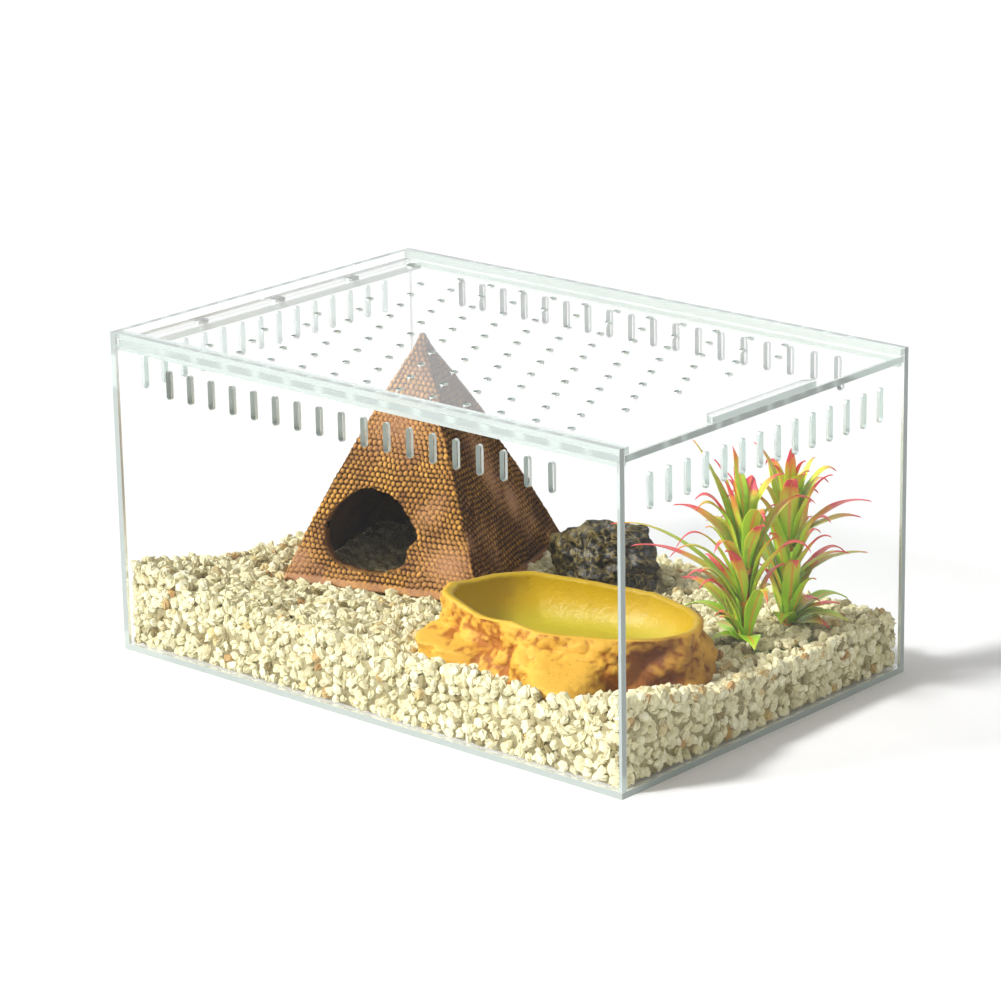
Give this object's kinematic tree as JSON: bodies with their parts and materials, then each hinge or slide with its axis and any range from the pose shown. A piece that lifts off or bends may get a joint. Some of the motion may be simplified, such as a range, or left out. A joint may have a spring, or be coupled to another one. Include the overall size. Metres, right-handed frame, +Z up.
{
  "type": "reptile breeding box",
  "caption": "Clear acrylic reptile breeding box with a perforated lid that slides out, gravel, a pyramid hide, a resin dish, a rock and a plastic plant.",
  "frame": {"origin": "centre of the base plate's underside, where the box rests", "axes": "+X along the long side towards the end where the lid slides out, +Y from the front long wall to the rear one, +Z up out of the lid"},
  "size_m": [0.3, 0.2, 0.1526],
  "materials": {
    "clear_acrylic": "clear polished, edges brighter",
    "magnet_steel": "plated",
    "pale_gravel": "matt crushed granules, cream with some ochre",
    "brown_resin": "matt cast resin, golden highlights on dark crevices",
    "yellow_resin": "satin cast resin, yellow bowl and brown rock sides",
    "dark_stone": "rough, with beige veins",
    "foot_plastic": "moulded",
    "orange_plastic": "moulded",
    "leaf_plastic": "thin moulded blades, lime to orange and pink"
  },
  "bodies": {
    "box": {"base_plate": "clear_acrylic", "front_wall": "clear_acrylic", "rear_wall": "clear_acrylic", "left_end_wall": "clear_acrylic", "right_end_wall": "clear_acrylic", "front_upper_rail": "clear_acrylic", "rear_upper_rail": "clear_acrylic", "front_lower_rail": "clear_acrylic", "rear_lower_rail": "clear_acrylic", "end_ledge": "clear_acrylic", "ledge_magnets": "magnet_steel", "gravel_bed": "pale_gravel"},
    "lid": {"lid_sheet": "clear_acrylic", "lid_magnets": "magnet_steel", "lid_pull": "clear_acrylic"},
    "hide": {"hide_shell": "brown_resin"},
    "dish": {"feeding_dish": "yellow_resin"},
    "rock": {"accent_rock": "dark_stone"},
    "plant": {"plant_foot": "foot_plastic", "front_stem": "orange_plastic", "rear_stem": "orange_plastic", "front_low_leaves": "leaf_plastic", "front_mid_leaves": "leaf_plastic", "front_high_leaves": "leaf_plastic", "front_top_leaves": "leaf_plastic", "rear_low_leaves": "leaf_plastic", "rear_mid_leaves": "leaf_plastic", "rear_high_leaves": "leaf_plastic", "rear_top_leaves": "leaf_plastic"}
  },
  "joints": [
    {"name": "lid_slide", "type": "slide", "parent": "box", "child": "lid", "axis": [1, 0, 0], "range_m": [0, 0.297]},
    {"name": "hide_lift", "type": "slide", "parent": "box", "child": "hide", "axis": [0, 0, 1], "range_m": [0, 0.008]},
    {"name": "dish_lift", "type": "slide", "parent": "box", "child": "dish", "axis": [0, 0, 1], "range_m": [0, 0.012]},
    {"name": "rock_lift", "type": "slide", "parent": "box", "child": "rock", "axis": [0, 0, 1], "range_m": [0, 0.06]},
    {"name": "plant_lift", "type": "slide", "parent": "box", "child": "plant", "axis": [0, 0, 1], "range_m": [0, 0.012]}
  ]
}
